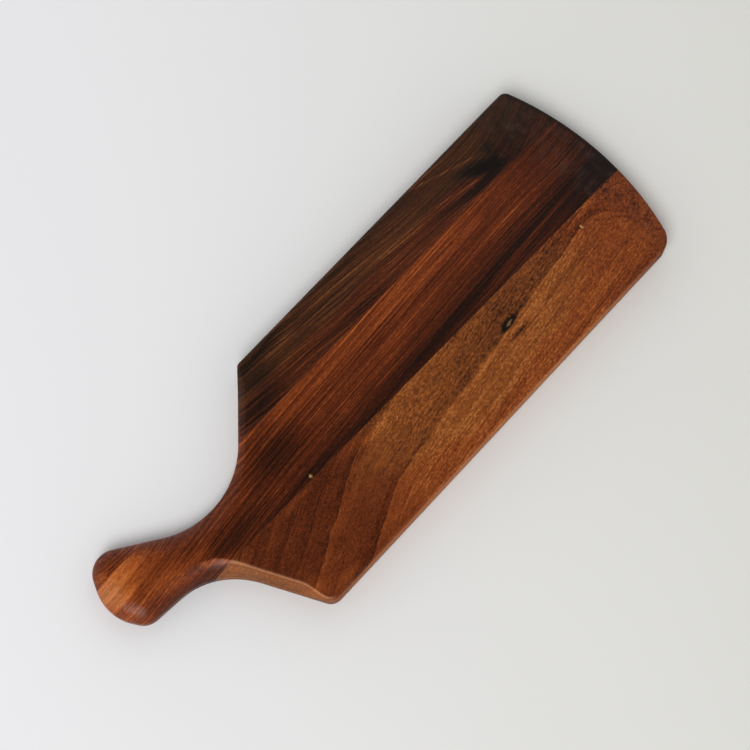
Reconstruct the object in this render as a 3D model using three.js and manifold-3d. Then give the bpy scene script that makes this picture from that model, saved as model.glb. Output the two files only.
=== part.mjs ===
// A serving board of three walnut staves, glued edge to edge, sawn to one outline and shaped by hand.
// The middle stave runs on into the handle, which turns aside and ends in a rounded bulb.
// Sawing the outline leaves a small cheek of the dark stave on the bulb, cut off from the rest of it.
import * as THREE from "three";
import { mergeVertices } from "three/addons/utils/BufferGeometryUtils.js";
import Module from "manifold-3d";

const { clamp, degToRad, euclideanModulo, lerp, smoothstep } = THREE.MathUtils;
const point = (x, y) => new THREE.Vector2(x, y);

// Sizes are in millimetres and angles in degrees. The board lies on its underside, at z = 0.
// +X runs from the nose of the handle to the crowned end, and +Y to the edge of the dark stave.
const BOARD_LENGTH = 450;
const BOARD_WIDTH = 155;
const BOARD_THICKNESS = 20;

// The crowned end is one arc across the board, with its crown a little off the centre line.
const CROWN_RADIUS = 213.5;
const CROWN_OFFSET = 5;
const CROWN_BLEND = 60;
const DARK_CORNER_RADIUS = 4;
const PALE_CORNER_RADIUS = 9;

// The top face rolls down towards the crowned end, straight across the board.
const END_ROLL_LENGTH = 31;
const END_ROLL_DROP = 3.5;

// Each shoulder leaves its long edge at a distance from the nose, and slopes in to the neck.
const DARK_SHOULDER_FROM_NOSE = 173.5;
const DARK_SHOULDER_ANGLE = 44;
const DARK_SHOULDER_RADIUS = 4;
const PALE_SHOULDER_FROM_NOSE = 102;
const PALE_SHOULDER_ANGLE = 64.5;
const PALE_SHOULDER_RADIUS = 9;

// The handle leaves the board's centre line at an angle. Two coves make its neck, two lobes its bulb.
const HANDLE_TURN_FROM_NOSE = 88;
const HANDLE_CANT = 22;
const NECK_WIDTH = 37.4;
const DARK_COVE_RADIUS = 62;
const PALE_COVE_RADIUS = 54;
const BULB_WIDTH = 55;
const DARK_LOBE_RADIUS = 16;
const PALE_LOBE_RADIUS = 13;
const LOBE_SETBACK = 4.8;
const NOSE_RADIUS = 32;

// The edges: a rounded arris all round, a flat bevel on the shoulders, a full round on the grip.
const ARRIS_WIDTH = 3;
const ARRIS_DEPTH = 2.5;
const BEVEL_WIDTH = 5.5;
const BEVEL_DEPTH = 9;
const BEVEL_RUNOUT = 18;
const GRIP_WIDTH = 16;
const GRIP_EDGE = 3.5;
const UNDER_ARRIS = 2;
const GRIP_UNDER_WIDTH = 12;
const GRIP_UNDER_DEPTH = 7.5;
const GRIP_HOLD = 0.2; // share of a cove's turn that keeps the full grip before it fades to the bevel

// The two glued joints bound the handle stave. Its width and place are taken at mid length.
const HANDLE_STAVE_WIDTH = 52.5;
const HANDLE_STAVE_OFFSET = 13;
const DARK_JOINT_SKEW = -0.3;
const PALE_JOINT_SKEW = -1.07;
const GLUE_FILM = 0.2;
const GLUE_CLEARANCE = 0.05;

// How finely the curves are cut into facets.
const ARC_SAG = 0.1;
const STATION_GAP = 2;
const RUNOUT_STEPS = 4;
const EDGE_STEPS = 5;
const FACE_STEPS = 4;
const ROLL_STEPS = 5;
const NOSE_STEPS = 8; // stations on the nose stand this many times closer
const HALVINGS = 20;
const EDGE_MEET = 0.95; // share of the way to the middle that an edge takes on a narrow section
const WELD = 1e-4; // points closer than this are one

const noseX = -BOARD_LENGTH / 2;
const endX = BOARD_LENGTH / 2;
const edgeY = BOARD_WIDTH / 2;
const DARK = 1;
const PALE = -1;

// The point that lies at distance a along direction u and at distance b along direction v.
function pointAt(u, a, v, b) {
  const area = u.cross(v);
  return point((a * v.y - b * u.y) / area, (b * u.x - a * v.x) / area);
}

// The plan outline is a belt round these discs, run clockwise from the nose.
// A disc is convex where the belt goes round its outside, and hollow where a cove lies beyond the edge.
// grip and bevel tell how much of each edge shape the belt has where it enters and leaves the disc.
function planDiscs() {
  const cant = degToRad(HANDLE_CANT);
  const alongX = point(1, 0);
  const alongY = point(0, 1);
  const acrossHandle = point(Math.sin(cant), Math.cos(cant));
  const axis = point(noseX + HANDLE_TURN_FROM_NOSE, 0).dot(acrossHandle);

  function lobe(side, radius) {
    const offAxis = axis + side * (BULB_WIDTH / 2 - radius);
    const centre = pointAt(alongX, noseX + LOBE_SETBACK + radius, acrossHandle, offAxis);
    return { centre, radius, hollow: false, grip: [1, 1], bevel: [0, 0] };
  }

  function shoulder(side, fromNose, angle, coveRadius, cornerRadius) {
    const slope = degToRad(angle);
    const outward = point(-Math.sin(slope), side * Math.cos(slope));
    const reach = point(noseX + fromNose, side * edgeY).dot(outward);
    const coveOffAxis = axis + side * (coveRadius + NECK_WIDTH / 2);
    const cove = pointAt(outward, reach + coveRadius, acrossHandle, coveOffAxis);
    const corner = pointAt(outward, reach - cornerRadius, alongY, side * (edgeY - cornerRadius));
    const fade = side === DARK ? [1, 0] : [0, 1];
    const build = side === DARK ? [0, 1] : [1, 0];
    return {
      cove: { centre: cove, radius: coveRadius, hollow: true, grip: fade, bevel: build },
      corner: { centre: corner, radius: cornerRadius, hollow: false, grip: [0, 0], bevel: [0, 0] },
    };
  }

  function farCorner(side, radius) {
    const centre = point(endX - radius, side * (edgeY - radius));
    return { centre, radius, hollow: false, grip: [0, 0], bevel: [0, 0] };
  }

  const darkLobe = lobe(DARK, DARK_LOBE_RADIUS);
  const paleLobe = lobe(PALE, PALE_LOBE_RADIUS);
  const dark = shoulder(
    DARK, DARK_SHOULDER_FROM_NOSE, DARK_SHOULDER_ANGLE, DARK_COVE_RADIUS, DARK_SHOULDER_RADIUS);
  const pale = shoulder(
    PALE, PALE_SHOULDER_FROM_NOSE, PALE_SHOULDER_ANGLE, PALE_COVE_RADIUS, PALE_SHOULDER_RADIUS);

  // The nose is no flatter than the two lobes beside it let it be.
  const halfGap = (darkLobe.centre.y - paleLobe.centre.y) / 2;
  const room = (LOBE_SETBACK ** 2 + halfGap ** 2) / (2 * LOBE_SETBACK);
  const noseRadius = Math.min(NOSE_RADIUS, Math.min(DARK_LOBE_RADIUS, PALE_LOBE_RADIUS) + room);
  const nose = {
    centre: point(noseX + noseRadius, (darkLobe.centre.y + paleLobe.centre.y) / 2),
    radius: noseRadius,
    hollow: false,
    grip: [1, 1],
    bevel: [0, 0],
  };

  return {
    neckX: dark.cove.centre.x,
    belt: [
      nose, darkLobe, dark.cove, dark.corner, farCorner(DARK, DARK_CORNER_RADIUS),
      farCorner(PALE, PALE_CORNER_RADIUS), pale.corner, pale.cove, paleLobe,
    ],
  };
}

// The direction of the straight run from one disc to the next, touching both.
function tangentAngle(from, to) {
  const gap = to.centre.clone().sub(from.centre);
  const rise = signedRadius(to) - signedRadius(from);
  return gap.angle() - Math.asin(clamp(rise / gap.length(), -1, 1));
}

function signedRadius(disc) {
  return disc.hollow ? disc.radius : -disc.radius;
}

// Sizes of the edge at one place on the outline, mixed from arris, bevel and grip.
function edgeShape(grip, bevel) {
  const arris = 1 - grip - bevel;
  const gripDepth = BOARD_THICKNESS - GRIP_EDGE - GRIP_UNDER_DEPTH;
  return {
    width: arris * ARRIS_WIDTH + bevel * BEVEL_WIDTH + grip * GRIP_WIDTH,
    depth: arris * ARRIS_DEPTH + bevel * BEVEL_DEPTH + grip * gripDepth,
    round: arris + grip,
    underWidth: lerp(UNDER_ARRIS, GRIP_UNDER_WIDTH, grip),
    underDepth: lerp(UNDER_ARRIS, GRIP_UNDER_DEPTH, grip),
  };
}

// Points all round the outline, each with its place and the shape of the edge there.
function traceOutline(belt) {
  const places = [];
  belt.forEach((disc, i) => {
    const before = belt.at(i - 1);
    const after = belt[(i + 1) % belt.length];
    const entry = tangentAngle(before, disc);
    const exit = tangentAngle(disc, after);
    const turn = euclideanModulo(exit - entry + Math.PI, 2 * Math.PI) - Math.PI;
    const steps = Math.max(2, Math.ceil(Math.abs(turn) / (2 * Math.acos(1 - ARC_SAG / disc.radius))));
    for (let k = 0; k <= steps; k++) {
      const fade = gripFade(disc, k / steps);
      const edge = edgeShape(lerp(...disc.grip, fade), lerp(...disc.bevel, fade));
      places.push({ at: touchPoint(disc, entry + (turn * k) / steps), edge });
    }
    if (disc.bevel[1] !== after.bevel[0]) {
      places.push(...bevelRunout(touchPoint(disc, exit), touchPoint(after, exit), disc.bevel[1] > 0));
    }
  });
  return places;
}

// Where a belt that heads one way touches a disc.
function touchPoint(disc, heading) {
  const inward = point(-Math.sin(heading), Math.cos(heading));
  return disc.centre.clone().addScaledVector(inward, -signedRadius(disc));
}

// The full grip holds for a while on its own end of a cove, then fades over the rest of the turn.
function gripFade(disc, share) {
  return disc.grip[0] >= disc.grip[1]
    ? smoothstep(share, GRIP_HOLD, 1)
    : smoothstep(share, 0, 1 - GRIP_HOLD);
}

// The last stretch of a shoulder, where its bevel thins out to the arris before the corner.
function bevelRunout(from, to, thinsOut) {
  const corner = thinsOut ? to : from;
  const cove = thinsOut ? from : to;
  const length = Math.min(BEVEL_RUNOUT, corner.distanceTo(cove));
  const places = Array.from({ length: RUNOUT_STEPS }, (_, k) => {
    const share = (k + 1) / RUNOUT_STEPS;
    const at = corner.clone().lerp(cove, (share * length) / corner.distanceTo(cove));
    return { at, edge: edgeShape(0, smoothstep(share, 0, 1)) };
  });
  return thinsOut ? places.reverse() : places;
}

// The nearest place on the outline: how far in from it a point lies, and the edge shape there.
function nearestEdge(places, x, y) {
  let nearest = Infinity;
  let from = places[0];
  let to = places[0];
  let share = 0;
  places.forEach((start, i) => {
    const stop = places[(i + 1) % places.length];
    const runX = stop.at.x - start.at.x;
    const runY = stop.at.y - start.at.y;
    const along = (x - start.at.x) * runX + (y - start.at.y) * runY;
    const part = clamp(along / Math.max(runX * runX + runY * runY, WELD * WELD), 0, 1);
    const distance = Math.hypot(start.at.x + part * runX - x, start.at.y + part * runY - y);
    if (distance < nearest) {
      nearest = distance;
      from = start;
      to = stop;
      share = part;
    }
  });
  const edge = {};
  for (const key in from.edge) edge[key] = lerp(from.edge[key], to.edge[key], share);
  return { distance: nearest, edge };
}

// How far an edge has fallen below its face at a distance in from the outline.
function edgeDrop(distance, width, depth, round) {
  const straight = 1 - Math.min(distance / width, 1);
  const elliptic = 1 - Math.sqrt(1 - straight * straight);
  return depth * lerp(straight, elliptic, round);
}

// How far a straight line across the board bows back to follow the crowned end.
function crownBow(x, y) {
  const sag = Math.sqrt(CROWN_RADIUS ** 2 - (y - CROWN_OFFSET) ** 2) - CROWN_RADIUS;
  return sag * smoothstep(x, endX - CROWN_BLEND, endX);
}

function endRoll(x) {
  const share = Math.max(0, (x - (endX - END_ROLL_LENGTH)) / END_ROLL_LENGTH);
  return END_ROLL_DROP * share * share;
}

// The y of one long side of the outline at a given x.
function sideAt(side, x) {
  const i = clamp(side.findIndex((place) => place.at.x >= x), 1, side.length - 1);
  const from = side[i - 1].at;
  const to = side[i].at;
  return to.x > from.x ? lerp(from.y, to.y, clamp((x - from.x) / (to.x - from.x), 0, 1)) : to.y;
}

// Where the lines along the board cross one section: on the edges each keeps its share of the edge's
// width, and on the face they are sparse, with one line down the crown of the far end.
function sectionLines(places, dark, pale, x, widthKey) {
  const darkY = sideAt(dark, x);
  const paleY = sideAt(pale, x);
  const middle = (darkY + paleY) / 2;
  const wayIn = (y) => {
    const { distance, edge } = nearestEdge(places, x, y);
    return distance / edge[widthKey];
  };
  const reach = Math.min(1, EDGE_MEET * wayIn(middle));
  const edgeLine = (outerY, share) => {
    let outer = outerY;
    let inner = middle;
    for (let k = 0; k < HALVINGS; k++) {
      const y = (outer + inner) / 2;
      if (wayIn(y) < share * reach) outer = y;
      else inner = y;
    }
    return outer;
  };
  const darkEdge = edgeShares.map((share) => edgeLine(darkY, share));
  const paleEdge = edgeShares.map((share) => edgeLine(paleY, share)).reverse();
  const crown = lerp(paleEdge[0], darkEdge.at(-1), (edgeY + CROWN_OFFSET) / BOARD_WIDTH);
  const face = Array.from({ length: FACE_STEPS }, (_, k) => k / FACE_STEPS);
  return [
    ...darkEdge,
    ...face.slice(1).map((share) => lerp(darkEdge.at(-1), crown, share)),
    ...face.map((share) => lerp(crown, paleEdge[0], share)),
    ...paleEdge,
  ];
}

// Steps over a rounded edge, as shares of its width, close together where it is steepest.
const edgeShares = Array.from(
  { length: EDGE_STEPS + 1 }, (_, k) => 1 - Math.cos((Math.PI / 2) * (k / EDGE_STEPS)));

// Where the sections stand: at every turn of either side, down the end roll and over the end arris.
function sectionStations(dark, pale) {
  const turns = [...dark, ...pale].map((place) => place.at.x);
  for (let k = 0; k <= ROLL_STEPS; k++) {
    turns.push(endX - END_ROLL_LENGTH + (END_ROLL_LENGTH - ARRIS_WIDTH) * (k / ROLL_STEPS));
  }
  const arris = edgeShares.map((share) => endX - ARRIS_WIDTH * share);
  turns.push(endX - CROWN_BLEND);
  const stations = [noseX];
  for (const x of turns.sort((a, b) => a - b)) {
    const clearOfArris = x < endX - ARRIS_WIDTH - STATION_GAP;
    const gap = x < noseX + LOBE_SETBACK ? STATION_GAP / NOSE_STEPS : STATION_GAP;
    if (x > stations.at(-1) + gap && clearOfArris) stations.push(x);
  }
  return [...stations, ...arris.reverse()];
}

// The whole board as one closed loft through its sections.
function boardGeometry(belt) {
  const places = traceOutline(belt);
  const crossing = places.findIndex((place) => place.at.x > 0 && place.at.y < 0);
  const noseAt = places.reduce((low, place, i) => (place.at.x < places[low].at.x ? i : low), 0);
  const dark = places.slice(noseAt, crossing);
  const pale = [...places.slice(crossing), ...places.slice(0, noseAt + 1)].reverse();

  const rings = sectionStations(dark, pale).map((x) => {
    const ring = [];
    for (const y of sectionLines(places, dark, pale, x, "width")) {
      const { distance, edge } = nearestEdge(places, x, y);
      const bowed = x + crownBow(x, y);
      const drop = edgeDrop(distance, edge.width, edge.depth, edge.round);
      ring.push(new THREE.Vector3(bowed, y, BOARD_THICKNESS - endRoll(bowed) - drop));
    }
    for (const y of sectionLines(places, dark, pale, x, "underWidth").reverse()) {
      const { distance, edge } = nearestEdge(places, x, y);
      const rise = edgeDrop(distance, edge.underWidth, edge.underDepth, 1);
      ring.push(new THREE.Vector3(x + crownBow(x, y), y, rise));
    }
    return ring;
  });

  const triangles = [];
  const quad = (a, b, c, d) => triangles.push(a, b, c, a, c, d);
  rings.slice(1).forEach((ring, i) => {
    const last = rings[i];
    ring.forEach((_, j) => {
      const next = (j + 1) % ring.length;
      quad(last[j], last[next], ring[next], ring[j]);
    });
  });
  const end = rings.at(-1);
  for (let j = 0; j < end.length / 2 - 1; j++) {
    quad(end[j], end[j + 1], end.at(-2 - j), end.at(-1 - j));
  }
  return new THREE.BufferGeometry().setFromPoints(triangles);
}

const wasm = await Module();
wasm.setup();

// A closed geometry as a solid that can be cut, without the triangles that fall together at the nose.
function solidOf(geometry) {
  const bare = new THREE.BufferGeometry().setAttribute("position", geometry.getAttribute("position"));
  bare.setIndex(geometry.index);
  const merged = mergeVertices(bare, WELD);
  const corners = merged.index.array;
  const triVerts = [];
  for (let i = 0; i < corners.length; i += 3) {
    const [a, b, c] = corners.slice(i, i + 3);
    if (a !== b && b !== c && c !== a) triVerts.push(a, b, c);
  }
  const vertProperties = new Float32Array(merged.getAttribute("position").array);
  return new wasm.Manifold(
    new wasm.Mesh({ numProp: 3, vertProperties, triVerts: new Uint32Array(triVerts) }));
}

function geometryOf(solid) {
  const { vertProperties, triVerts } = solid.getMesh();
  const geometry = new THREE.BufferGeometry();
  geometry.setAttribute("position", new THREE.BufferAttribute(vertProperties, 3));
  geometry.setIndex(new THREE.BufferAttribute(triVerts, 1));
  geometry.computeVertexNormals();
  return geometry;
}

// A box that reaches past the whole board whichever way it is moved.
const ROOM = 2 * (BOARD_LENGTH + BOARD_WIDTH + BOARD_THICKNESS);

// All the room on one side of a glued joint, standing off it by a clearance.
function besideJoint(joint, side, clearance) {
  const room = new THREE.BoxGeometry(ROOM, ROOM, ROOM);
  room.translate(0, side * (ROOM / 2 + clearance), 0);
  room.rotateZ(degToRad(joint.skew));
  room.translate(0, joint.y, 0);
  return solidOf(room);
}

// All the room on the handle's side of the neck, or on the blade's side.
function beyondNeck(x, towards) {
  const room = new THREE.BoxGeometry(ROOM, ROOM, ROOM);
  room.translate(x + towards * (ROOM / 2), 0, 0);
  return solidOf(room);
}

const HANDLE_WAY = -1;
const BLADE_WAY = 1;
const darkJoint = { y: HANDLE_STAVE_OFFSET + HANDLE_STAVE_WIDTH / 2, skew: DARK_JOINT_SKEW };
const paleJoint = { y: HANDLE_STAVE_OFFSET - HANDLE_STAVE_WIDTH / 2, skew: PALE_JOINT_SKEW };
const standOff = GLUE_FILM / 2 + GLUE_CLEARANCE;

const { belt, neckX } = planDiscs();
const board = solidOf(boardGeometry(belt));

// One stave between or beyond the joints, and the film of glue that fills a joint.
const darkSide = board.intersect(besideJoint(darkJoint, DARK, standOff));
const paleSide = board.intersect(besideJoint(paleJoint, PALE, standOff));
const middle = board
  .intersect(besideJoint(darkJoint, PALE, standOff))
  .intersect(besideJoint(paleJoint, DARK, standOff));

function glueFilm(joint) {
  return board
    .intersect(besideJoint(joint, DARK, -GLUE_FILM / 2))
    .intersect(besideJoint(joint, PALE, -GLUE_FILM / 2));
}

const darkFilm = glueFilm(darkJoint);
const handleRoom = beyondNeck(neckX, HANDLE_WAY);
const bladeRoom = beyondNeck(neckX, BLADE_WAY);

const darkWalnut = new THREE.MeshStandardMaterial({ color: 0x4a2d1b, roughness: 0.42, metalness: 0 });
const redWalnut = new THREE.MeshStandardMaterial({ color: 0x764423, roughness: 0.42, metalness: 0 });
const paleWalnut = new THREE.MeshStandardMaterial({ color: 0x94643a, roughness: 0.42, metalness: 0 });
const setGlue = new THREE.MeshStandardMaterial({ color: 0x2e1a0f, roughness: 0.6, metalness: 0 });

const servingBoard = new THREE.Group();

function addPiece(name, solid, material) {
  const mesh = new THREE.Mesh(geometryOf(solid), material);
  mesh.name = name;
  servingBoard.add(mesh);
}

addPiece("dark_stave", darkSide.intersect(bladeRoom), darkWalnut);
addPiece("handle_cheek", darkSide.intersect(handleRoom), darkWalnut);
addPiece("handle_stave", middle, redWalnut);
addPiece("pale_stave", paleSide, paleWalnut);
addPiece("dark_glue_line", darkFilm.intersect(bladeRoom), setGlue);
addPiece("cheek_glue_line", darkFilm.intersect(handleRoom), setGlue);
addPiece("pale_glue_line", glueFilm(paleJoint), setGlue);

export default servingBoard;
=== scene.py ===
# %% [markdown]
# # A walnut serving board
# The real board is three walnut staves, glued edge to edge, sawn to one outline and shaped by hand.
# The lesson goes the way the maker went: draw the outline, shape the edges, show the staves and the glue
# between them, and oil the wood. The packed part gives every overall size, so it is loaded first.

# %% Load the packed part
import math

import bmesh
import bpy
import numpy as np
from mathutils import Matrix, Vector


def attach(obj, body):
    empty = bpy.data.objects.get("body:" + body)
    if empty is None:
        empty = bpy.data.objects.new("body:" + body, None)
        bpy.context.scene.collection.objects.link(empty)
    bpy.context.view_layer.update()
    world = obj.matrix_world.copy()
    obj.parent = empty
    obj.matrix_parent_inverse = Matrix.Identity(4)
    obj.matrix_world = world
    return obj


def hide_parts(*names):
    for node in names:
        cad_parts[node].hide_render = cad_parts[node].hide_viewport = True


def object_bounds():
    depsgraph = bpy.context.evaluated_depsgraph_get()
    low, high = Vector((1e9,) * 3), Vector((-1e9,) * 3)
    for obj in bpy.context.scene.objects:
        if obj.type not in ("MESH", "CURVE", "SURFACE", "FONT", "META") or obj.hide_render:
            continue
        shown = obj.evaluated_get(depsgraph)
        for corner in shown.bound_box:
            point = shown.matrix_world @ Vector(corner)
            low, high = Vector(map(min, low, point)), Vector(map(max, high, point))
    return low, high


MM = 0.001
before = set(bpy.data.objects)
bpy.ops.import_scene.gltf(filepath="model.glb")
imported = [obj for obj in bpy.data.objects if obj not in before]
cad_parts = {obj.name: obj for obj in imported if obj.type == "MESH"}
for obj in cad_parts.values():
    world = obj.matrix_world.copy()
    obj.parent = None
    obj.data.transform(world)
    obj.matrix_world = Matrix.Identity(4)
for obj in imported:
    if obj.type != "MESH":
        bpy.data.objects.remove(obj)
cad_low, cad_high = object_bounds()
nose_x, end_x = cad_low.x, cad_high.x
edge_y, thickness = cad_high.y, cad_high.z
print("packed nodes:", ", ".join(sorted(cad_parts)))
print("packed box, mm:", [round(side / MM, 2) for side in cad_high - cad_low])

# %% [markdown]
# ## The discs behind the outline
# The outline is all arcs and straight runs, as a bandsaw leaves it after a template. It could be drawn as
# a Bezier curve by eye, but then every size would hide in the handles. Here it is a belt pulled round a
# few discs: round the outside of a bulb lobe or a corner, and round the inside of a cove. The two long
# sides are named for the staves that lie there, and most sizes differ between them.

# %% Name the sizes of the outline
DARK, PALE = 1, -1
HANDLE_TURN = 88 * MM  # from the nose to where the handle's axis meets the middle of the board
HANDLE_CANT = math.radians(22)
NECK_WIDTH, BULB_WIDTH = 37.4 * MM, 55 * MM
NOSE_RADIUS = 32 * MM
LOBE_SETBACK = 4.8 * MM  # from the nose back to the lobes of the bulb
LOBE_RADIUS = {DARK: 16 * MM, PALE: 13 * MM}
COVE_RADIUS = {DARK: 62 * MM, PALE: 54 * MM}
SHOULDER_START = {DARK: 173.5 * MM, PALE: 102 * MM}
SHOULDER_ANGLE = {DARK: math.radians(44), PALE: math.radians(64.5)}
CORNER_RADIUS = {DARK: 4 * MM, PALE: 9 * MM}
print("neck and bulb, mm:", round(NECK_WIDTH / MM, 2), round(BULB_WIDTH / MM, 2))

# %% [markdown]
# ## Placing the discs
# Every disc but the nose lies between two lines that it has to touch. A cove touches the side of the neck
# and the saw cut of its shoulder, and a corner touches that cut and the long edge. Both lines are moved by
# the radius, and the centre is where they cross. The nose stands midway between the lobes. Each disc also
# says how the edge is worked where the belt enters and leaves it: a full round to grip, or a flat bevel.

# %% Place the discs
across_handle = np.array([math.sin(HANDLE_CANT), math.cos(HANDLE_CANT)])
handle_axis = (nose_x + HANDLE_TURN) * across_handle[0]


def crossing(first, first_reach, second, second_reach):
    """The point that lies so far along one direction and so far along another."""
    return np.linalg.solve([first, second], [first_reach, second_reach])


def disc(centre, radius, grip=(0, 0), bevel=(0, 0)):
    """A disc of the belt. Its radius is above zero in a cove and below zero on a convex turn."""
    return {"centre": np.array(centre), "radius": radius, "grip": grip, "bevel": bevel}


def lobe(side):
    radius = LOBE_RADIUS[side]
    off_axis = handle_axis + side * (BULB_WIDTH / 2 - radius)
    centre = crossing((1, 0), nose_x + LOBE_SETBACK + radius, across_handle, off_axis)
    return disc(centre, -radius, grip=(1, 1))


def cove(side):
    radius = COVE_RADIUS[side]
    outward, reach = shoulder_line(side)
    off_axis = handle_axis + side * (radius + NECK_WIDTH / 2)
    ends = (1, 0) if side == DARK else (0, 1)
    centre = crossing(outward, reach + radius, across_handle, off_axis)
    return disc(centre, radius, grip=ends, bevel=ends[::-1])


def shoulder_line(side):
    """The straight saw cut of a shoulder: its outward direction and its distance from the origin."""
    outward = np.array([-math.sin(SHOULDER_ANGLE[side]), side * math.cos(SHOULDER_ANGLE[side])])
    return outward, outward @ (nose_x + SHOULDER_START[side], side * edge_y)


def corner(side):
    radius = CORNER_RADIUS[side]
    outward, reach = shoulder_line(side)
    return disc(crossing(outward, reach - radius, (0, 1), side * (edge_y - radius)), -radius)


def far_corner(side):
    radius = CORNER_RADIUS[side]
    return disc((end_x - radius, side * (edge_y - radius)), -radius)


lobes = [lobe(DARK), lobe(PALE)]
nose_y = (lobes[0]["centre"][1] + lobes[1]["centre"][1]) / 2
nose = disc((nose_x + NOSE_RADIUS, nose_y), -NOSE_RADIUS, grip=(1, 1))
belt = [nose, lobes[0], cove(DARK), corner(DARK), far_corner(DARK),
        far_corner(PALE), corner(PALE), cove(PALE), lobes[1]]
neck_x = belt[2]["centre"][0]
print("discs, mm:", [tuple((one["centre"] / MM).round(1)) for one in belt])

# %% [markdown]
# ## The belt
# Between two discs the belt runs along their common tangent. Its points stand close together, because
# the edge shape is looked up from the nearest of them. The grip fades through each cove, and the bevel of
# a shoulder thins out just before the corner, where the real board is only eased with sandpaper.

# %% Run the belt round the discs
TRACE_STEP = 0.2 * MM
BEVEL_RUNOUT = 18 * MM
GRIP_HOLD = 0.2  # share of a cove that keeps the full grip before it fades


def smooth(share):
    """An even rise from 0 to 1 that starts and ends level."""
    share = np.clip(share, 0, 1)
    return share * share * (3 - 2 * share)


def heading(here, after):
    """The direction of the straight run that touches two discs."""
    gap = after["centre"] - here["centre"]
    rise = after["radius"] - here["radius"]
    return math.atan2(gap[1], gap[0]) - math.asin(rise / np.linalg.norm(gap))


def touch(one, angle):
    """Where a belt that heads at an angle, or at many, touches a disc."""
    inward = np.stack([-np.sin(angle), np.cos(angle)], -1)
    return one["centre"] - one["radius"] * inward


def shares(length):
    return np.arange(0, 1, TRACE_STEP / max(length, TRACE_STEP))


def trace(belt):
    """The belt's points: place, grip, bevel and inward direction, one row each."""
    rows = []
    for i, here in enumerate(belt):
        after = belt[(i + 1) % len(belt)]
        entry, leave = heading(belt[i - 1], here), heading(here, after)
        turn = (leave - entry + math.pi) % (2 * math.pi) - math.pi
        share = shares(abs(turn * here["radius"]))
        held = GRIP_HOLD if here["grip"][0] > here["grip"][1] else 0
        fade = smooth((share - held) / (1 - GRIP_HOLD))
        grip, bevel = (ends[0] + (ends[1] - ends[0]) * fade for ends in (here["grip"], here["bevel"]))
        angle = entry + turn * share
        rows.append(np.column_stack([touch(here, angle), grip, bevel, -np.sin(angle), np.cos(angle)]))
        rows.append(straight_run(here, after, leave))
    return np.concatenate(rows)


def straight_run(here, after, angle):
    start, stop = touch(here, angle), touch(after, angle)
    length = np.linalg.norm(stop - start)
    share = shares(length)[:, None]
    grip, bevel = here["grip"][1], here["bevel"][1]
    if bevel != after["bevel"][0]:
        from_corner = share if bevel < after["bevel"][0] else 1 - share
        bevel = smooth(from_corner * length / BEVEL_RUNOUT)
    blank = np.ones_like(share)
    inward = np.array([-math.sin(angle), math.cos(angle)])
    return np.hstack([start + (stop - start) * share, blank * grip, blank * bevel, blank * inward])


outline = trace(belt)
print("outline:", len(outline), "points")

# %% [markdown]
# ## The outline as an object
# The belt becomes a closed loop of edges, and grip and bevel ride on its points as named attributes. The
# carving tree reads them from there, so the loop is a tool and not a piece of the board.

# %% Make the outline a loop of edges
outline_mesh = bpy.data.meshes.new("outline")
loop = np.arange(len(outline))
flat_points = np.column_stack([outline[:, :2], np.zeros(len(outline))])
outline_mesh.from_pydata(flat_points, np.column_stack([loop, np.roll(loop, -1)]), [])
for column, name in ((2, "grip"), (3, "bevel")):
    attribute = outline_mesh.attributes.new(name, "FLOAT", "POINT")
    attribute.data.foreach_set("value", outline[:, column].astype(np.float32))
outline_loop = bpy.data.objects.new("outline", outline_mesh)
bpy.context.scene.collection.objects.link(outline_loop)
print("outline loop:", len(outline_mesh.edges), "edges")

# %% [markdown]
# ## Sizes of the worked edges
# Three edge shapes meet on this board. Most of the edge has a small rounded arris, the shoulders have a
# steep flat bevel, and the handle is rounded over above and below until it fits a closed hand.

# %% Name the edge sizes
EDGE_SIZES = {
    "Arris width": 3 * MM, "Arris depth": 2.5 * MM,
    "Bevel width": 5.5 * MM, "Bevel depth": 9 * MM,
    "Grip width": 16 * MM, "Grip depth": 9 * MM,
    "Under arris": 2 * MM, "Under grip width": 12 * MM, "Under grip depth": 7.5 * MM,
}


def edge_widths(grip, bevel):
    """How far in from the outline the edge is worked, on the top and on the underside."""
    size = EDGE_SIZES
    arris = 1 - grip - bevel
    top = arris * size["Arris width"] + bevel * size["Bevel width"] + grip * size["Grip width"]
    return top, size["Under arris"] + grip * (size["Under grip width"] - size["Under arris"])


print("edge sizes, mm:", {name: round(size / MM, 2) for name, size in EDGE_SIZES.items()})

# %% [markdown]
# ## The blank
# A blank is the sawn board before its edges are worked: a flat slab of that outline. A face filled from
# the outline would have no lines where the carving needs them. So the slab is lofted through sections
# across the board. They stand close together where the outline turns quickly and along the far arris.

# %% Place the sections
STATION_GAP = 1.2 * MM
LEAST_GAP = 0.02 * MM  # stations nearer together than this become one
SMALL_TURN = 10 * MM  # a corner tighter than this has stations of its own
CORNER_STATIONS, NOSE_STATIONS = 24, 28
RIM_LINES, RIM_REACH = 12, 0.9  # how many lines lie near the rim, and up to which share of the edge
CREASE_LINES, CREASE_REACH = 5, (0.94, 1.1)
INNER_SHARES = (1.2, 1.35)

rim_shares = RIM_REACH * np.linspace(0, 1, RIM_LINES) ** 2
line_shares = np.concatenate([rim_shares, np.linspace(*CREASE_REACH, CREASE_LINES), INNER_SHARES])


def stations():
    """Where the sections stand: close together on the nose, the corners and the far arris."""
    nose_part = nose_x + LOBE_SETBACK * np.linspace(0, 1, NOSE_STATIONS) ** 2
    corners = [one for one in belt if -SMALL_TURN < one["radius"] < 0]
    turns = [one["centre"][0] + one["radius"] * np.linspace(-1, 1, CORNER_STATIONS) for one in corners]
    arris = end_x - EDGE_SIZES["Arris width"] * line_shares
    body = np.arange(nose_x + LOBE_SETBACK, end_x, STATION_GAP)
    found = np.sort(np.concatenate([nose_part, body, arris, *turns]))
    return found[np.append(True, np.diff(found) > LEAST_GAP)]


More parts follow.
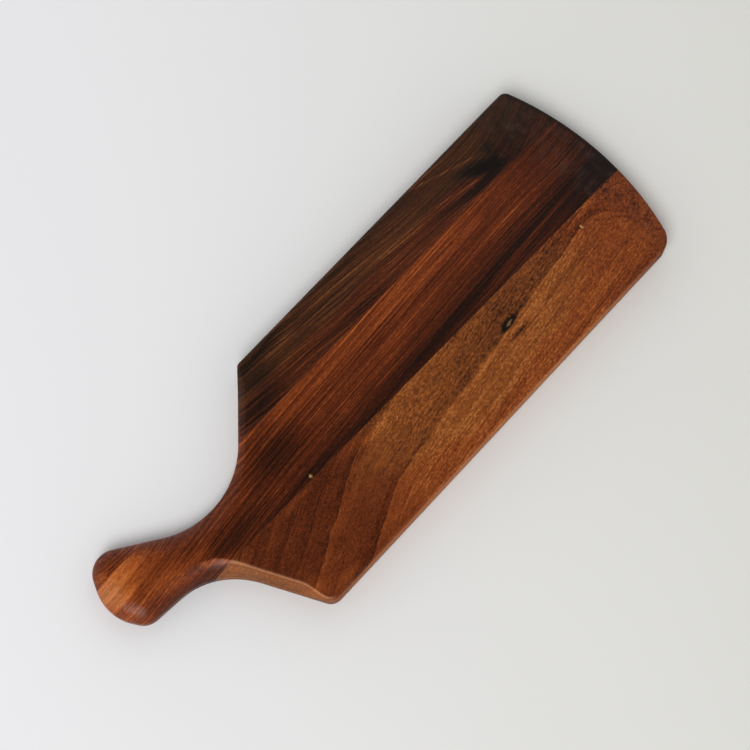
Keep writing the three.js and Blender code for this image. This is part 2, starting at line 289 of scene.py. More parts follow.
print("stations:", len(stations()), "with", len(line_shares), "lines along each worked edge")

# %% [markdown]
# ## The lines of a section
# In each section the lines stand at fixed shares of the edge's width. They crowd at the rim, where a round
# edge is steepest, and at the crease of the bevel. Even spacing would need many times more faces to keep
# the crease as crisp. The outline is halved at the nose and at the far end, so that every station
# finds one rim on each side.

# %% Cut sections across the outline
TOUCH = 0.001 * MM  # an outline point this near the far end lies on it
FACE_LINES = 24
PROBES = 160  # places looked at between the rim and the middle of a section
LEAST_STEP = 1e-9
WAY_USED = 0.95  # share of the way to the middle that the lines of a narrow section may fill

at_end = outline[:, 0] > end_x - TOUCH
nose_at = int(outline[:, 0].argmin())
far_at = int(at_end.argmax())
far_back = len(outline) - 1 - int(at_end[::-1].argmax())
dark_side = outline[nose_at:far_at + 1]
pale_side = np.concatenate([outline[far_back:], outline[:nose_at + 1]])[::-1]


def section(x):
    """The lines of one section, top and underside, each from the dark edge to the pale one."""
    near = outline[abs(outline[:, 0] - x) < 2 * EDGE_SIZES["Grip width"]]
    widths = edge_widths(near[:, 2], near[:, 3])
    sides = (dark_side, pale_side)
    rims = [np.interp(x, np.maximum.accumulate(side[:, 0]), side[:, 1]) for side in sides]
    middle = sum(rims) / 2
    faces = []
    for width in widths:
        dark, pale = (edge_lines(x, rim, middle, near, width) for rim in rims)
        inner = np.linspace(dark[-1], pale[-1], FACE_LINES + 1)[1:-1]
        faces.append(np.concatenate([dark, inner, pale[::-1]]))
    return faces


def edge_lines(x, rim, middle, near, width):
    """Places between the rim and the middle at fixed shares of the width of the worked edge."""
    y = rim + (middle - rim) * np.linspace(0, 1, PROBES) ** 2
    gap_x, gap_y = np.broadcast_arrays(x - near[:, 0, None], y - near[:, 1, None])
    nearest = (gap_x ** 2 + gap_y ** 2).argmin(0)
    inward = near[nearest, 4:6]
    distance = abs((x - near[nearest, 0]) * inward[:, 0] + (y - near[nearest, 1]) * inward[:, 1])
    way_in = np.maximum.accumulate(distance / width[nearest])
    wanted = line_shares * min(1, WAY_USED * way_in[-1] / line_shares[-1])
    after = np.clip(np.searchsorted(way_in, wanted), 1, len(y) - 1)
    step = np.maximum(way_in[after] - way_in[after - 1], LEAST_STEP)
    share = np.clip((wanted - way_in[after - 1]) / step, 0, 1)
    return y[after - 1] + share * (y[after] - y[after - 1])


sections = [(x, *section(x)) for x in stations()]
print("sections:", len(sections), "with", 2 * len(sections[0][1]), "points each")

# %% [markdown]
# ## The loft
# Every section has the same number of points, so neighbours are joined into rings of four-sided faces. At
# the nose all the points of a section meet, and the carving tree welds them. The far end gets a cap.

# %% Loft the sections into a slab
points, faces = [], []
for x, top, under in sections:
    points += [(x, y, thickness) for y in top]
    points += [(x, y, 0) for y in under[::-1]]
ring = 2 * len(sections[0][1])
for first in range(0, len(points) - ring, ring):
    for j in range(ring):
        k = (j + 1) % ring
        faces.append((first + j, first + k, first + ring + k, first + ring + j))
end = len(points) - ring
for j in range(ring // 2 - 1):
    faces.append((end + j, end + j + 1, end + ring - 2 - j, end + ring - 1 - j))

blank_mesh = bpy.data.meshes.new("blank")
blank_mesh.from_pydata(points, [], faces)
blank = bpy.data.objects.new("blank", blank_mesh)
bpy.context.scene.collection.objects.link(blank)
print("blank:", len(points), "points,", len(faces), "faces")

# %% [markdown]
# ## Writing node trees as sums
# Long node trees are hard to read as lists of links. This small class wraps one output of a node, so that
# ordinary Python sums add Math nodes, and one method adds any other node. It serves the carving tree
# here and every material further down.


# %% A value in a node tree
class Value:
    """One output of a node, in a tree of shader or geometry nodes."""

    def __init__(self, tree, socket=None):
        self.tree = tree
        self.socket = socket

    def node(self, kind, settings=None, sockets=None, output=0):
        """Adds a node, sets it up, then fills its sockets with numbers or with other values."""
        made = self.tree.nodes.new(kind)
        for name, setting in (settings or {}).items():
            if name == "stops":
                set_stops(made.color_ramp.elements, setting)
            else:
                setattr(made, name, setting)
        for key, content in (sockets or {}).items():
            if isinstance(content, Value):
                self.tree.links.new(content.socket, made.inputs[key])
            else:
                made.inputs[key].default_value = content
        return Value(self.tree, made.outputs[output] if made.outputs else None)

    def output(self, name):
        return Value(self.tree, self.socket.node.outputs[name])

    def math(self, operation, *others):
        return self.node("ShaderNodeMath", {"operation": operation}, dict(enumerate((self, *others))))

    def __add__(self, other):
        return self.math("ADD", other)

    __radd__ = __add__

    def __sub__(self, other):
        return self.math("SUBTRACT", other)

    def __rsub__(self, other):
        return self.node("ShaderNodeMath", {"operation": "SUBTRACT"}, {0: other, 1: self})

    def __mul__(self, other):
        return self.math("MULTIPLY", other)

    __rmul__ = __mul__

    def __truediv__(self, other):
        return self.math("DIVIDE", other)

    def __pow__(self, other):
        return self.math("POWER", other)

    def root(self):
        return self.math("SQRT")

    def at_least(self, other):
        return self.math("MAXIMUM", other)

    def at_most(self, other):
        return self.math("MINIMUM", other)

    def rise(self, low, high):
        """0 below low and 1 above high, with a smooth step between. It falls where low is the higher."""
        span = {"Value": self, "From Min": low, "From Max": high}
        return self.node("ShaderNodeMapRange", {"interpolation_type": "SMOOTHSTEP"}, span)


def set_stops(elements, stops):
    """Fills a colour ramp with (place, colour) stops."""
    while len(elements) < len(stops):
        elements.new(1)
    for element, (place, colour) in zip(elements, stops):
        element.position = place
        element.color = (*colour, 1)


print("a value has", sum(callable(item) for item in vars(Value).values()), "methods")

# %% [markdown]
# ## Carving the blank
# Shaping a board by hand follows one rule: the nearer a point lies to the outline, the more wood is taken
# off. A rule for every point is a job for Geometry Nodes, and moving the points by hand would take days.
# The tree's sizes are its inputs, so they can be changed on the modifier without touching a node.

# %% Name the inputs of the carving tree
WELD = 0.004 * MM
SHAPE_SIZES = {
    **EDGE_SIZES, "Thickness": thickness, "End": end_x,
    "Crown radius": 213.5 * MM, "Crown offset": 5 * MM, "Crown blend": 60 * MM,
    "Roll length": 31 * MM, "Roll drop": 3.5 * MM, "Crease softness": 0.1, "Dark facet": 0.15,
}
carving = bpy.data.node_groups.new("carve the board", "GeometryNodeTree")
sockets = carving.interface
sockets.new_socket("Geometry", in_out="INPUT", socket_type="NodeSocketGeometry")
sockets.new_socket("Outline", in_out="INPUT", socket_type="NodeSocketObject")
sockets.new_socket("Wood", in_out="INPUT", socket_type="NodeSocketMaterial")
for name in SHAPE_SIZES:
    sockets.new_socket(name, in_out="INPUT", socket_type="NodeSocketFloat")
sockets.new_socket("Geometry", in_out="OUTPUT", socket_type="NodeSocketGeometry")
given = Value(carving).node("NodeGroupInput")
print("inputs of the carving tree:", len(carving.interface.items_tree) - 1)

# %% [markdown]
# ## The rules of carving
# The tree measures how far each point of the blank lies from the outline, reads grip and bevel from the
# nearest outline point, and works out the drop. The bevel of the pale shoulder is left crisp, and the one
# of the dark shoulder is sanded nearly round. One more rule bows the far end out into a crown.


# %% Write the rules of carving
def plan_reading(x, y):
    """Distance to the outline, and grip and bevel at the nearest point of it."""
    loop = given.node("GeometryNodeObjectInfo", None, {"Object": given.output("Outline")}, "Geometry")
    flat = given.node("ShaderNodeCombineXYZ", None, {"X": x, "Y": y})
    away = {"Geometry": loop, "Sample Position": flat}
    distance = given.node("GeometryNodeProximity", {"target_element": "EDGES"}, away, "Distance")
    nearest = given.node("GeometryNodeSampleNearest", {"domain": "POINT"}, away)
    readings = []
    for name in ("grip", "bevel"):
        stored = given.node("GeometryNodeInputNamedAttribute", {"data_type": "FLOAT"}, {"Name": name})
        lookup = {"Geometry": loop, "Value": stored, "Index": nearest}
        readings.append(given.node("GeometryNodeSampleIndex", {"domain": "POINT"}, lookup))
    return distance, *readings


def edge_drop(distance, grip, bevel, is_top, is_pale):
    """How far an edge has fallen below its face."""
    size = given.output
    arris = 1 - grip - bevel
    top_width = arris * size("Arris width") + bevel * size("Bevel width") + grip * size("Grip width")
    top_depth = arris * size("Arris depth") + bevel * size("Bevel depth") + grip * size("Grip depth")
    under_width = size("Under arris") + grip * (size("Under grip width") - size("Under arris"))
    under_depth = size("Under arris") + grip * (size("Under grip depth") - size("Under arris"))
    width = under_width + is_top * (top_width - under_width)
    depth = under_depth + is_top * (top_depth - under_depth)
    left = 1 - distance / width
    softness = size("Crease softness")
    flat_slope = ((left + (left * left + softness * softness).root()) / 2).at_most(1)
    clipped = left.at_least(0)
    ellipse = 1 - (1 - clipped * clipped).at_least(0).root()
    flatness = is_top * bevel * (size("Dark facet") + is_pale * (1 - size("Dark facet")))
    return depth * (ellipse + flatness * (flat_slope - ellipse))


def crowned(x, y):
    """x after a straight line across the board has bowed back to follow the crowned end."""
    radius = given.output("Crown radius")
    off = y - given.output("Crown offset")
    sag = (radius * radius - off * off).root() - radius
    return x + sag * x.rise(given.output("End") - given.output("Crown blend"), given.output("End"))


print("rules:", plan_reading.__name__, edge_drop.__name__, crowned.__name__)

# %% [markdown]
# ## Joining the rules
# The rules are applied to every point, the top rolls down towards the crown, and the points are moved. What
# falls together at the nose is welded. Two nodes close the tree: Realize Instances, because an export drops
# what is only an instance, and Set Material, which makes the board bare walnut until its finishes are ready.

# %% Build the carving tree
place = given.node("ShaderNodeSeparateXYZ", None, {0: given.node("GeometryNodeInputPosition")})
x, y, z = (place.output(name) for name in "XYZ")
is_top = z.math("GREATER_THAN", given.output("Thickness") / 2)
distance, grip, bevel = plan_reading(x, y)
is_pale = y.math("LESS_THAN", 0)
drop = edge_drop(distance, grip, bevel, is_top, is_pale)
bowed = crowned(x, y)
rolled = ((bowed - given.output("End")) / given.output("Roll length") + 1).at_least(0)
face = given.output("Thickness") - given.output("Roll drop") * rolled * rolled
height = drop + is_top * (face - 2 * drop)
moved = given.node("ShaderNodeCombineXYZ", None, {"X": bowed, "Y": y, "Z": height})
shaped = given.node("GeometryNodeSetPosition", None, {"Geometry": given, "Position": moved})
welded = given.node("GeometryNodeMergeByDistance", None, {"Geometry": shaped, "Distance": WELD})
softened = given.node("GeometryNodeSetShadeSmooth", None, {"Geometry": welded})
whole = given.node("GeometryNodeRealizeInstances", None, {"Geometry": softened})
wood = given.output("Wood")
wooden = given.node("GeometryNodeSetMaterial", None, {"Geometry": whole, "Material": wood})
given.node("NodeGroupOutput", None, {0: wooden})
print("carving tree:", len(carving.nodes), "nodes")

# %% [markdown]
# ## Turning the tree's result into a mesh
# A modifier's inputs are set by the identifier of each socket, before anything evaluates the object. The
# result becomes a plain mesh, and the blank, the modifier and the outline have done their work.

# %% Carve
bare_wood = bpy.data.materials.new("bare walnut")
inputs = [item for item in carving.interface.items_tree if item.in_out == "INPUT"]
identifiers = {item.name: item.identifier for item in inputs}
carve = blank.modifiers.new("carve", "NODES")
carve.node_group = carving
settings = {**SHAPE_SIZES, "Outline": outline_loop, "Wood": bare_wood}
for name, setting in settings.items():
    carve[identifiers[name]] = setting
depsgraph = bpy.context.evaluated_depsgraph_get()
board_mesh = bpy.data.meshes.new_from_object(blank.evaluated_get(depsgraph))
blank.modifiers.remove(carve)
for tool in (blank, outline_loop):
    bpy.data.objects.remove(tool)
corners = np.array([vertex.co for vertex in board_mesh.vertices])
print("carved board:", len(corners), "points, box in mm", (np.ptp(corners, axis=0) / MM).round(2))

# %% [markdown]
# ## Sawing the staves apart
# The real staves were glued first and shaped together, so their surfaces run on across the joints. Shaping
# each stave by itself would risk a step there. Here the carved board is sawn along two upright planes
# at each joint, one for each face of the glue film, and the cuts are capped.

# %% Tools for sawing
HANDLE_STAVE_WIDTH, HANDLE_STAVE_OFFSET = 52.5 * MM, 13 * MM
GLUE_FILM = 0.2 * MM
JOINT_SKEW = {DARK: math.radians(-0.3), PALE: math.radians(-1.07)}
SAW_TOLERANCE = 1e-7
CRISP_ANGLE = math.radians(38)  # a turn sharper than this between two faces is a crisp edge


def saw(solid, place, towards):
    """Keeps what lies on one side of a plane and caps the cut."""
    everything = solid.verts[:] + solid.edges[:] + solid.faces[:]
    cut = bmesh.ops.bisect_plane(
        solid, geom=everything, plane_co=place, plane_no=towards, clear_inner=True, dist=SAW_TOLERANCE)
    rim = [item for item in cut["geom_cut"] if isinstance(item, bmesh.types.BMEdge)]
    caps = bmesh.ops.holes_fill(solid, edges=rim)["faces"]
    bmesh.ops.triangulate(solid, faces=caps)


def beside(joint, side, stand_off):
    """A saw plane along a joint, and the side of it that is kept."""
    y = HANDLE_STAVE_OFFSET + joint * HANDLE_STAVE_WIDTH / 2
    towards = side * Vector((-math.sin(JOINT_SKEW[joint]), math.cos(JOINT_SKEW[joint]), 0))
    return Vector((0, y, 0)) + stand_off * towards, towards


def sawn(name, *planes):
    """A piece of the carved board that lies on the kept side of every plane."""
    solid = bmesh.new()
    solid.from_mesh(board_mesh)
    for place, towards in planes:
        saw(solid, place, towards)
    bmesh.ops.recalc_face_normals(solid, faces=solid.faces)
    mesh = bpy.data.meshes.new(name)
    solid.to_mesh(mesh)
    open_edges = sum(len(edge.link_faces) != 2 for edge in solid.edges)
    volume = solid.calc_volume() / MM ** 3
    solid.free()
    mesh.shade_smooth()
    mesh.set_sharp_from_angle(angle=CRISP_ANGLE)
    piece = bpy.data.objects.new(name, mesh)
    bpy.context.scene.collection.objects.link(piece)
    print(f"{name}: {len(mesh.polygons)} faces, {open_edges} open edges, {volume / 1000:.2f} cm3")
    return piece


print("handle stave and glue film, mm:", round(HANDLE_STAVE_WIDTH / MM, 2), round(GLUE_FILM / MM, 2))

# %% [markdown]
# ## The pieces
# Three staves come out of two joints, but the neck is narrower than the handle stave is wide. So the dark
# joint leaves the wood there and comes back on the bulb, and the dark stave and its glue are each in two
# parts. The name of a piece says what it is, and the name before it is the packed node it stands for.

# %% Saw along the joints
half = GLUE_FILM / 2
blade_way = (Vector((neck_x, 0, 0)), Vector((1, 0, 0)))
handle_way = (Vector((neck_x, 0, 0)), Vector((-1, 0, 0)))
dark_film = (beside(DARK, DARK, -half), beside(DARK, PALE, -half))
pieces = {
    "dark_stave": sawn("stave_dark", beside(DARK, DARK, half), blade_way),
    "handle_cheek": sawn("cheek_of_handle", beside(DARK, DARK, half), handle_way),
    "handle_stave": sawn("stave_handle", beside(DARK, PALE, half), beside(PALE, DARK, half)),
    "pale_stave": sawn("stave_pale", beside(PALE, PALE, half)),
    "dark_glue_line": sawn("glue_dark", *dark_film, blade_way),
    "cheek_glue_line": sawn("glue_cheek", *dark_film, handle_way),
    "pale_glue_line": sawn("glue_pale", beside(PALE, DARK, -half), beside(PALE, PALE, -half)),
}

# %% [markdown]
# ## Grain as a solid
# Wood is coloured all through, so its figure is worked out from the place of a point inside the stave and
# not from a flat picture wrapped round it. The same streaks then run over an edge and come out as end
# grain on the far end. Noise that is drawn out along the grain gives bands, lines and pores, according
# to how long and how thin it is.

# %% Tools for grain
FACE = thickness / MM
LAYER_DEPTH = 50  # how far down a growth layer stays much the same
BAND_WIDTH, LINE_WIDTH, HAIR_WIDTH = 8, 1.5, 0.6
THREAD, GRIT = (9, 0.3), (3, 0.9)  # length and width of pores


def stave_space(tree):
    """x, y and z through a stave, in millimetres."""
    place = Value(tree).node("ShaderNodeTexCoord", output="Object")
    scaled = place.node("ShaderNodeVectorMath", {"operation": "SCALE"}, {0: place, "Scale": 1 / MM})
    split = place.node("ShaderNodeSeparateXYZ", None, {0: scaled})
    return [split.output(name) for name in "XYZ"]


def noise(x, y, z, detail=2.0, roughness=0.5):
    """Noise about zero, mostly from -0.3 to 0.3."""
    spot = x.node("ShaderNodeCombineXYZ", None, {0: x, 1: y, 2: z})
    settings = {"Vector": spot, "Scale": 1, "Detail": detail, "Roughness": roughness}
    return x.node("ShaderNodeTexNoise", None, settings) - 0.5


def layers(along, across, depth, length, width, detail=2.0):
    """Growth layers as noise: long along the grain, thin across it, and nearly even in depth."""
    return noise(along / length, across / width, depth / LAYER_DEPTH, detail, 0.6)


def pores(along, across, depth, length, width):
    """Noise drawn out into threads, which end on a cut face as dots."""
    return noise(along / length, across / width, depth / width)


def fibres(along, across, depth, lengths):
    """Bands, lines, hairs, threads and grit of a straight stave, from the longest to the shortest."""
    bands = layers(along, across, depth, lengths[0], BAND_WIDTH)
    lines = layers(along, across, depth, lengths[1], LINE_WIDTH)
    hairs = layers(along, across, depth, lengths[2], HAIR_WIDTH, 1)
    return bands, lines, hairs, pores(along, across, depth, *THREAD), pores(along, across, depth, *GRIT)


def bend(past, softness):
    """0 before a place and the distance past it beyond, with a soft turn between."""
    return (past + (past * past + softness * softness).root()) / 2


print("the top face lies at", round(FACE, 2), "mm")

# %% [markdown]
# ## Marks
# Noise alone gives any walnut board. What makes this one known again are marks at places of their own: a
# mound serves for a cloud or a knot, and a vein for a single long streak. They change the tone, and a ramp
# turns the tone into a colour. A painted picture would do the same, but only from one side.

# %% Tools for marks
# the first colour is paler sanded wood, and also the colour of the painted highlights along creases
SANDED_AND_HIGHLIGHT = (0.66, 0.33, 0.14, 1)
CREAM = (0.40, 0.235, 0.095, 1)
SHALLOW = (4, 1)  # depths between which a mark of the surface ends


def blend(factor, first, second):
    """A colour between two colours."""
    return factor.node("ShaderNodeMix", {"data_type": "RGBA"}, {0: factor, 6: first, 7: second}, 2)


def ramp(tone, stops):
    return tone.node("ShaderNodeValToRGB", {"stops": stops}, {0: tone})


def mound(x, y, centre, size, tilt=0):
    """1 at a centre, falling smoothly to 0 at an ellipse of the given half sizes round it."""
    off_x = (x - centre[0]) / size[0]
    off_y = (y - centre[1] - (x - centre[0]) * tilt) / size[1]
    return (off_x * off_x + off_y * off_y).root().rise(1, 0)


def clouded(tone, x, y, clouds):
    """A tone with clouds over it. Each has a centre, half sizes, a tilt and a strength."""
    for centre, size, tilt, strength in clouds:
        tone = tone + mound(x, y, centre, size, tilt) * strength
    return tone


def vein(x, y, start, stop, width):
    """1 along a straight line between two points, fading to both sides and at its ends."""
    length, climb = stop[0] - start[0], stop[1] - start[1]
    along = (x - start[0]) / length
    off = (y - start[1] - along * climb) / width
    return (off * off).rise(1, 0) * along.rise(0, 0.25) * along.rise(1, 0.75)


print("marks of the surface end", SHALLOW[0], "mm deep")

# %% [markdown]
# ## Painted sheen and highlights
# A grey sheen painted across the rolled crowned end, and a highlight painted just below a crease, follow the
# shape of the board instead of the grain. They keep their distance from the crowned end, or lie just below a
# crease. So they are worked out from those distances, and no place is needed.

# %% Tools for painted sheen and highlights
# grey of the painted sheen on the rolled end, and the two lines where it lies
SHEEN_GREY = (0.10, 0.075, 0.055, 1)
ROLL_SHEEN_LINE, ARRIS_SHEEN_LINE = (26, 10), (8, 5.5)  # distance in from the crowned end, and half width


def line_at(distance, place, width):
    """1 where a distance equals a place, fading to 0 at the given half width on both sides."""
    off = (distance - place) / width
    return (off * off).rise(1, 0)


def inset(x, y):
    """How far a place lies in from the crowned end."""
    radius, offset, end = (SHAPE_SIZES[name] / MM for name in ("Crown radius", "Crown offset", "End"))
    off = y - offset
    return end - radius + (radius * radius - off * off).root() - x


def painted_end_sheen(far, x, y, z):
    """A patchy grey painted sheen across the crowned end, where its roll starts and where it meets the
    arris.
    """
    patchy = noise(x / 8, y / 7, z / 9).rise(-0.12, 0.28)
    return (line_at(far, *ROLL_SHEEN_LINE) + line_at(far, *ARRIS_SHEEN_LINE)) * patchy * 0.15


def painted_crease_line(depth, reach):
    """1 on the line just below a crease where a highlight is painted, 0 on the face and below a given depth.
    """
    return depth.rise(0.05, 0.2) * depth.rise(reach, reach * 0.4)


# these are the lines of painted sheen on the rolled end
print("wear lies", ROLL_SHEEN_LINE[0], "and", ARRIS_SHEEN_LINE[0], "mm in from the crowned end")

# %% [markdown]
# ## Oil
# The real board is oiled. Oil soaks in and leaves a low sheen on the faces, while walls, bevels and end
# grain drink it and stay dull. A clear coat would shine the same everywhere, like varnish. So only the
# roughness changes here, and the pores are a slight bump under it.

# %% Tools for oil
SATIN, DRY = 0.3, 0.72  # roughness of an oiled face, and of wood that drank its oil
SHEEN, OIL_IOR = 0.2, 1.45
PORE_STRENGTH, PORE_DEPTH = 0.25, 0.08 * MM
BLADE_EDGES = (-150, -138)  # along x, where the round handle gives way to walls and bevels
WALL, UNDER_GRIP = (0.03, 0.8), (8, 13)  # depths over which the dull sides set in
END_GRAIN = (5, 2.5)  # distances from the crowned end over which the end grain sets in


def satin(x, depth, far, lines):
    """Roughness of oiled wood: duller on walls and bevels, below the grip and on the end grain."""
    walls = depth.rise(*WALL) * x.rise(*BLADE_EDGES)
    dull = walls.at_least(depth.rise(*UNDER_GRIP)).at_least(far.rise(*END_GRAIN))
    return SATIN + lines * 0.2 + dull * (DRY - SATIN)


def finish_wood(material, colour, relief, gloss):
    """Connects a figure to the surface: its colour, its pores as a slight bump, and its satin oil."""
    shader = material.node_tree.nodes["Principled BSDF"]
    bump = {"Strength": PORE_STRENGTH, "Distance": PORE_DEPTH, "Height": relief}
    normal = relief.node("ShaderNodeBump", None, bump)
    for name, value in (("Base Color", colour), ("Roughness", gloss), ("Normal", normal)):
        material.node_tree.links.new(value.socket, shader.inputs[name])
    shader.inputs["IOR"].default_value = OIL_IOR
    shader.inputs["Specular IOR Level"].default_value = SHEEN
    print(material.name, "has", len(material.node_tree.nodes), "nodes")


def new_material(name):
    material = bpy.data.materials.new(name)
    material.use_nodes = True
    return material


print("roughness:", SATIN, "on the faces and", DRY, "on the walls")

# %% [markdown]
# ## The handle stave
# The middle stave is cut so that its growth rings stand nearly upright, and they show as straight lines
# that rise a little towards the far end. It is golden on the bulb, orange beside the dark stave, and nearly
# black along the pale one, where an ember streak runs through the black. Red-brown with fine dark lines
# fills the rest. A ramp could colour it by one noise, but the bands of the real stave lie where they lie,
# so each is a streak or a cloud with a place.

# %% Colours of the handle stave
RED_STOPS = [
    (0.0, (0.008, 0.0025, 0.0015)), (0.2, (0.026, 0.0060, 0.0020)), (0.42, (0.079, 0.0143, 0.0031)),
    (0.6, (0.155, 0.0295, 0.0064)), (0.8, (0.33, 0.074, 0.0135)), (1.0, (0.56, 0.165, 0.039)),
]
# the lighter clouds at (-159, 5) and (-135, 18) on the neck are painted sheen, not lighter wood
RED_CLOUDS = [  # centre, half sizes, tilt and strength, above zero where the wood is lighter
    ((-78, 16), (38, 26), 0, -0.24), ((-82, 35), (30, 13), 0, -0.14), ((-132, 0), (50, 13), 0, -0.24),
    ((-135, 18), (34, 8), 0, 0.12), ((-211, 31), (34, 17), 0.35, 0.11), ((-209, 22), (10, 7), 0, 0.12),
    ((-182, 10), (24, 13), 0, 0.13), ((-217, 18), (12, 17), 0, 0.07), ((-159, 5), (14, 8), 0, 0.18),
    ((-84, 38), (14, 5), 0, 0.22), ((-23, 2), (18, 7), 0, 0.12), ((142, 28), (20, 7), 0, -0.14),
    ((211, 37.5), (8, 6), 0, 0.17), ((216, -15), (8, 5), 0, 0.25), ((-68, -8), (30, 7), 0, -0.08),
    ((-35, -10.5), (40, 5), -0.02, -0.08), ((38, -10.5), (34, 5), -0.02, -0.11),
]
SOOT, EMBER = ((20, -9.5), (235, 3), 4), ((90, -12), (210, -1.5), 2.4)  # start, stop and half width
ORANGE_SIDE, ORANGE_END, BLACK_SIDE = (20, 34), (190, 90), (5.5, -6.5)


def red_streaks(x, y, across, bands):
    """Orange beside the dark stave, and a black band by the pale one with an ember streak in it."""
    orange = (y + bands * 10).rise(*ORANGE_SIDE) * x.rise(*ORANGE_END)
    black = (across + bands * 8).rise(*BLACK_SIDE)
    soot, ember = (vein(x, y + bands * 4, *streak) for streak in (SOOT, EMBER))
    return orange * 0.13 - black * 0.25 - soot * 0.12 + ember * 0.16


print("clouds on the handle stave:", len(RED_CLOUDS))

# %% [markdown]
# ## Shades that follow the handle
# The bulb is golden. Its rim, flanks and underside get painted shade, the scoop of the neck a painted sheen,
# and the crease where the bevel starts a painted highlight. Most of these shades are set by the depth below
# the top face, so they follow the carving and need no drawing.

# %% Figure of the handle stave
RED_LENGTHS = (320, 170, 60)  # of bands, lines and hairs
SCOOP, CREASE_TIP = ((-165, 3), (36, 19)), ((-151, -2), (20, 18))  # centre and half sizes
NOSE_RIM, GOLD, RED_FLECK = ((-224, 24), (12, 26)), ((-217, 32), (15, 13)), ((-73.5, -9.9), (1.5, 2.2))
BULB_ALONG, BULB_ACROSS, CALM_BULB = (-158, -204), (-12, 14), (-140, -195)
NECK, BULB_TIP, HANDLE = (-125, -150), (-216, -200), (-60, -110)
DUSK, RED_ROLL_SHADE, RED_ROLL_SHADE_SIDE = (150, 208), (22, 7), (16, 26)  # along x, in from the crowned end, across


def handle_shades(x, y, depth):
    """The golden bulb; painted shade on its rim, flanks and underside; painted sheen on the scoop and
    crease.
    """
    bulb = x.rise(*BULB_ALONG) * y.rise(*BULB_ACROSS)
    # the darker rim, flanks and underside are painted shade, the paler scoop a painted sheen, the crease a
    # painted highlight
    rim = depth.rise(1.5, 6) * mound(x, y, *NOSE_RIM)
    flank_shade = depth.rise(0, 3) * x.rise(*NECK) * x.rise(*BULB_TIP)
    under = depth.rise(8, 14) * x.rise(*HANDLE)
    scoop_sheen = depth.rise(0.3, 2) * depth.rise(6, 2.5) * mound(x, y, *SCOOP)
    crease_highlight = painted_crease_line(depth, 2) * mound(x, y, *CREASE_TIP).rise(0, 0.5)
    return bulb * 0.17 - rim * 0.05 - flank_shade * 0.13 - under * 0.06 + scoop_sheen * 0.2 + crease_highlight * 0.3


def red_walnut():
    material = new_material("red walnut")
    x, y, z = stave_space(material.node_tree)
    depth, far = FACE - z, inset(x, y)
    lift = x * 0.058 - x * x * 0.000135
    across = y - lift - depth * 0.45 + noise(x / 110, y / 30, z / 30) * 4
    bands, lines, hairs, threads, grit = fibres(x, across, depth, RED_LENGTHS)
    stripes = bands * 0.3 + lines * 0.75 + hairs * 0.8
    tone = 0.47 + stripes * (1 - x.rise(*CALM_BULB) * 0.4) + threads * 0.5 + grit * 0.45
    tone = tone + red_streaks(x, y, across, bands) + handle_shades(x, y, depth)
    # the end grain is darker, with painted shade on the far arris, and the next line paints shade on the
    # roll
    tone = tone - x.rise(*DUSK) * 0.18 - far.rise(*END_GRAIN) * 0.1
    tone = tone - far.rise(*RED_ROLL_SHADE) * (0.12 - y.rise(*RED_ROLL_SHADE_SIDE) * 0.08)
    drift = bands * 6 + noise(x / 16, y / 9, z / 9) * 8
    tone = clouded(tone, x, y + drift, RED_CLOUDS)
    fleck = mound(x + grit * 5, y + threads * 4, *RED_FLECK).rise(0.1, 0.6) * depth.rise(*SHALLOW)
    colour = blend(painted_end_sheen(far, x, y, z), ramp(tone, RED_STOPS), SHEEN_GREY)
    colour = blend(mound(x, y + grit * 4, *GOLD) * 0.22, colour, SANDED_AND_HIGHLIGHT)
    finish_wood(material, blend(fleck, colour, CREAM), threads, satin(x, depth, far, lines))
    return material


print("bands of the handle stave are", RED_LENGTHS[0], "mm long")

# %% [markdown]
# ## The dark stave
# The dark stave comes from beside a fork in the tree. Thin orange streaks slope down through brown that is
# almost black, and its outer half is a cooler, olive brown. The streaks could be left to noise, but a few
# of them are so long and so bright that the eye looks for them, so those are veins with a place.

# %% Colours of the dark stave
DARK_STOPS = [
    (0.0, (0.004, 0.002, 0.001)), (0.25, (0.020, 0.0064, 0.0028)), (0.5, (0.066, 0.0143, 0.0046)),
    (0.75, (0.140, 0.033, 0.0092)), (1.0, (0.27, 0.084, 0.023)),
]
OLIVE_STOPS = [
    (0.0, (0.005, 0.0035, 0.002)), (0.25, (0.021, 0.0089, 0.0042)), (0.5, (0.053, 0.0163, 0.0055)),
    (0.75, (0.114, 0.0355, 0.0105)), (1.0, (0.25, 0.095, 0.028)),
]
DARK_CLOUDS = [  # centre, half sizes, tilt and strength, above zero where the wood is lighter
    ((-62, 46), (36, 11), 0, -0.28), ((-50, 62), (24, 16), 0, -0.26), ((-28, 73.5), (24, 2.2), 0.1, -0.2),
    ((38, 73), (36, 4.5), 0, -0.12), ((95, 74), (40, 5), 0, -0.1), ((126, 47), (32, 5), -0.18, -0.24),
    ((156, 54), (26, 7), -0.42, -0.28), ((164, 49), (16, 8), -0.3, -0.36), ((206, 54), (52, 44), 0, -0.2),
    ((158, 42.5), (38, 5.5), -0.04, -0.3), ((174, 57), (7, 11), 0.5, -0.18),
    ((163, 51), (40, 17), -0.1, -0.16), ((-15, 67.5), (16, 5), 0, 0.22), ((-214, 43), (10, 6), 0, 0.2),
]
ORANGE_VEINS = [  # start, stop, half width and strength
    ((-42, 56.5), (95, 47), 1.3, 0.12), ((-15, 70), (120, 59), 1.3, 0.1),
    ((112, 56), (160, 45), 1.0, 0.15), ((55, 58.5), (116, 50.5), 1.0, 0.14),
    ((108, 78), (174, 56), 1.2, 0.2), ((-40, 46.5), (35, 39.5), 1.1, 0.12),
]
print("clouds on the dark stave:", len(DARK_CLOUDS), "and veins:", len(ORANGE_VEINS))

